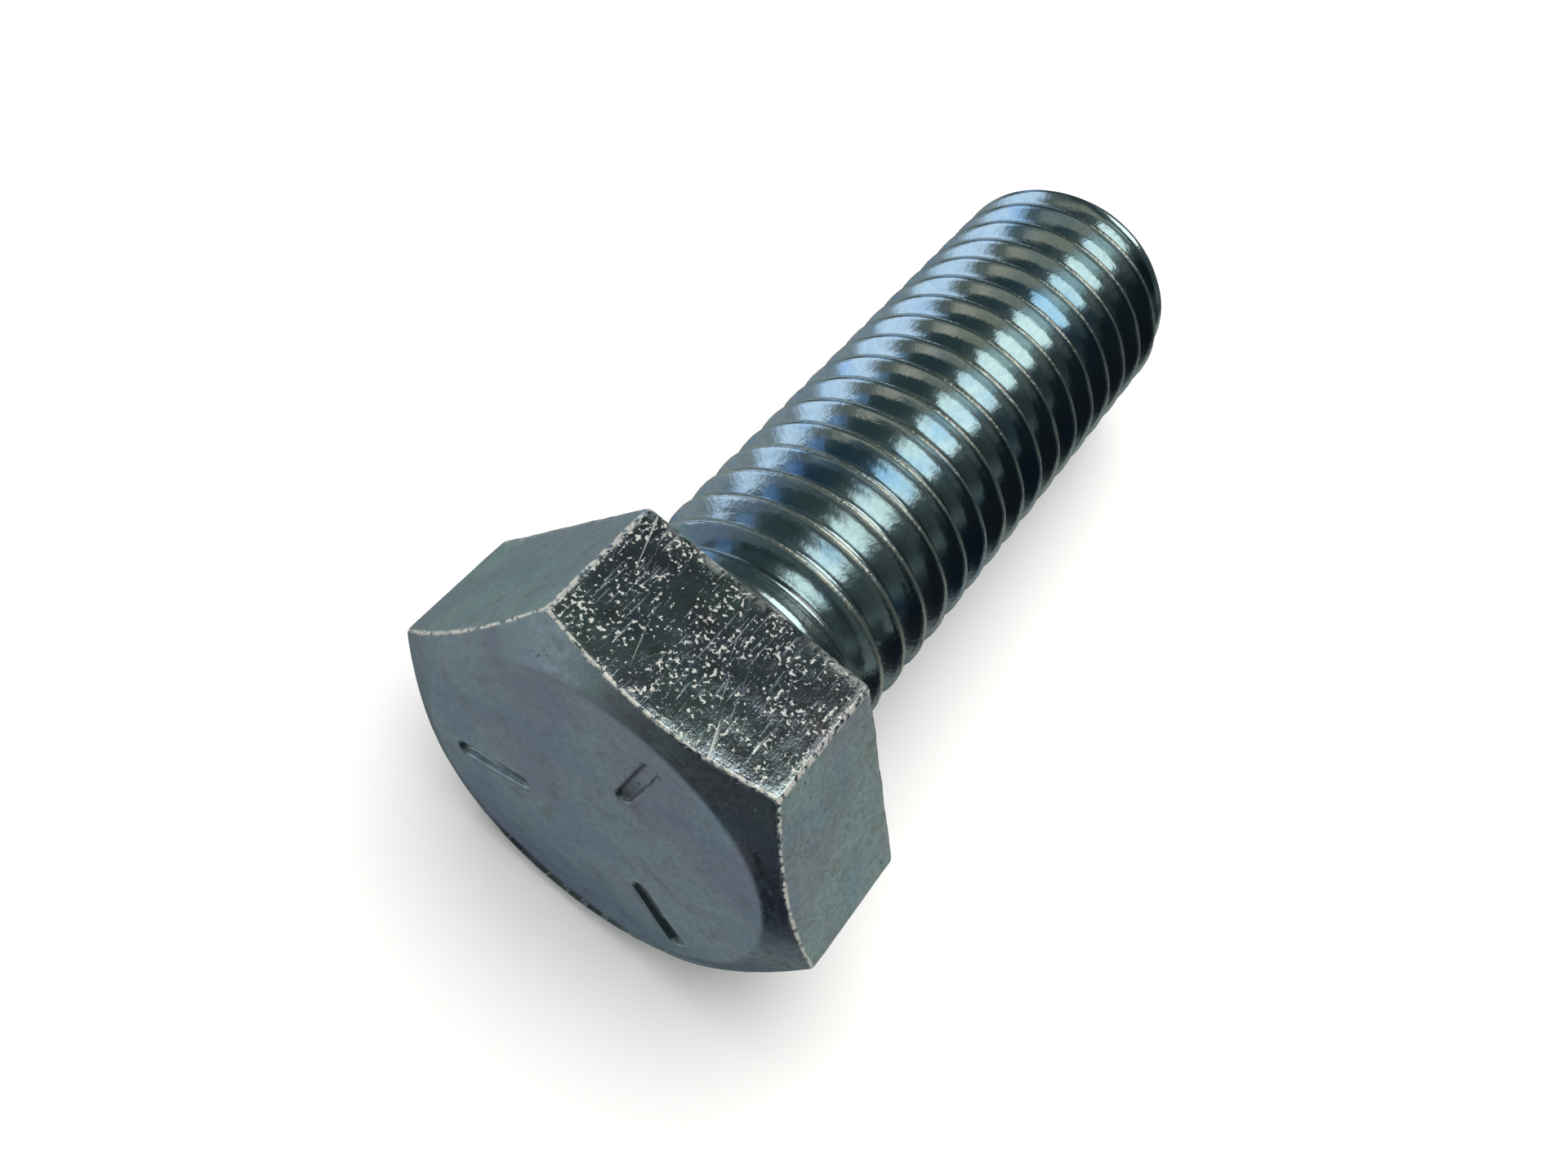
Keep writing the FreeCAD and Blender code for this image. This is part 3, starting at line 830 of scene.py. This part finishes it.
def paint_world():
    """The painted room for reflections, even light for the floor, and a pale backdrop."""
    world = bpy.data.worlds.new("studio")
    bpy.context.scene.world = world
    world.use_nodes = True
    world.node_tree.nodes.clear()
    graph = Graph(world.node_tree)
    towards = graph.node("ShaderNodeTexCoord").outputs["Generated"]
    round_it = graph.math(
        "ARCTAN2", graph.dot(towards, (0, 1, 0)), graph.dot(towards, (1, 0, 0))
    )
    above_it = graph.math("ARCSINE", graph.dot(towards, (0, 0, 1)))
    colour = ROOM
    for azimuth, elevation, width, height, soft, paint in PATCHES:
        aside = graph.math("SUBTRACT", round_it, math.radians(azimuth))
        aside = graph.math("ABSOLUTE", graph.math("WRAP", aside, math.pi, -math.pi))
        along = graph.math("ABSOLUTE", graph.math("SUBTRACT", above_it, math.radians(elevation)))
        edge = math.radians(soft)
        across = graph.remap(aside, math.radians(width) + edge, math.radians(width) - edge)
        within = graph.remap(along, math.radians(height) + edge, math.radians(height) - edge)
        if width >= ALL_ROUND:
            across = 1.0
        colour = graph.mix(graph.product(within, across), colour, paint)
    to_lamp = graph.dot(towards, tuple(direction(LAMP_AZIMUTH, LAMP_ELEVATION)))
    rim = math.cos(LAMP_RADIUS + LAMP_SOFTNESS), math.cos(LAMP_RADIUS - LAMP_SOFTNESS)
    colour = graph.mix(graph.remap(to_lamp, *rim), colour, LAMP_COLOUR)
    mirrored = graph.node("ShaderNodeBackground")
    graph.put(mirrored.inputs["Color"], colour)
    even = graph.node("ShaderNodeBackground")
    even.inputs["Color"].default_value = EVEN_LIGHT
    path = graph.node("ShaderNodeLightPath")
    lit = graph.node("ShaderNodeMixShader")
    graph.put(lit.inputs[0], path.outputs["Is Diffuse Ray"])
    graph.put(lit.inputs[1], mirrored.outputs[0])
    graph.put(lit.inputs[2], even.outputs[0])
    seen = graph.node("ShaderNodeBackground")
    seen.inputs["Color"].default_value = BACKDROP
    choose = graph.node("ShaderNodeMixShader")
    graph.put(choose.inputs[0], path.outputs["Is Camera Ray"])
    graph.put(choose.inputs[1], lit.outputs[0])
    graph.put(choose.inputs[2], seen.outputs[0])
    output = graph.node("ShaderNodeOutputWorld")
    graph.put(output.inputs["Surface"], choose.outputs[0])


paint_world()


def area_light(name, azimuth, elevation, distance, size, power, colour):
    """A square soft light that faces the bolt's middle."""
    lamp = bpy.data.lights.new(name, "AREA")
    lamp.shape = "SQUARE"
    lamp.size = size
    lamp.energy = power
    lamp.color = colour
    holder = bpy.data.objects.new(name, lamp)
    bpy.context.scene.collection.objects.link(holder)
    middle = (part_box(NODE)[0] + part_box(NODE)[1]) / 2
    toward = direction(azimuth, elevation)
    holder.location = middle + toward * distance
    holder.rotation_mode = "QUATERNION"
    holder.rotation_quaternion = toward.to_track_quat("Z", "Y")
    return holder


overhead = area_light(
    "overhead_softbox",
    azimuth=60,
    elevation=80,
    distance=0.6,
    size=0.6,
    power=4.5,
    colour=(1.0, 0.99, 0.97),
)
overhead.visible_glossy = False

# ------------------------------------------------------------------------- the camera

AIM = Vector((8.52, 0.43, 0.0)) * MM
CAMERA_AZIMUTH, CAMERA_ELEVATION, CAMERA_ROLL = -82.46, 55.96, 32.8
CAMERA_DISTANCE = 86.5 * MM
SENSOR_WIDTH = 36.0
LENS = 34.98

camera = bpy.data.objects.new("camera", bpy.data.cameras.new("camera"))
bpy.context.scene.collection.objects.link(camera)
azimuth, elevation = math.radians(CAMERA_AZIMUTH), math.radians(CAMERA_ELEVATION)
roll = math.radians(CAMERA_ROLL)
back = Vector(
    (
        math.sin(azimuth) * math.cos(elevation),
        -math.cos(azimuth) * math.cos(elevation),
        math.sin(elevation),
    )
)
level_right = Vector((math.cos(azimuth), math.sin(azimuth), 0))
level_up = back.cross(level_right)
right = level_right * math.cos(roll) + level_up * math.sin(roll)
up = level_up * math.cos(roll) - level_right * math.sin(roll)
camera.rotation_mode = "QUATERNION"
camera.rotation_quaternion = Matrix((right, up, back)).transposed().to_quaternion()
camera.location = AIM + back * CAMERA_DISTANCE
camera.data.sensor_width = SENSOR_WIDTH
camera.data.lens = LENS
camera.data.clip_start = 0.005
camera.data.clip_end = 10
bpy.context.scene.camera = camera
bpy.context.scene.view_settings.view_transform = "Standard"
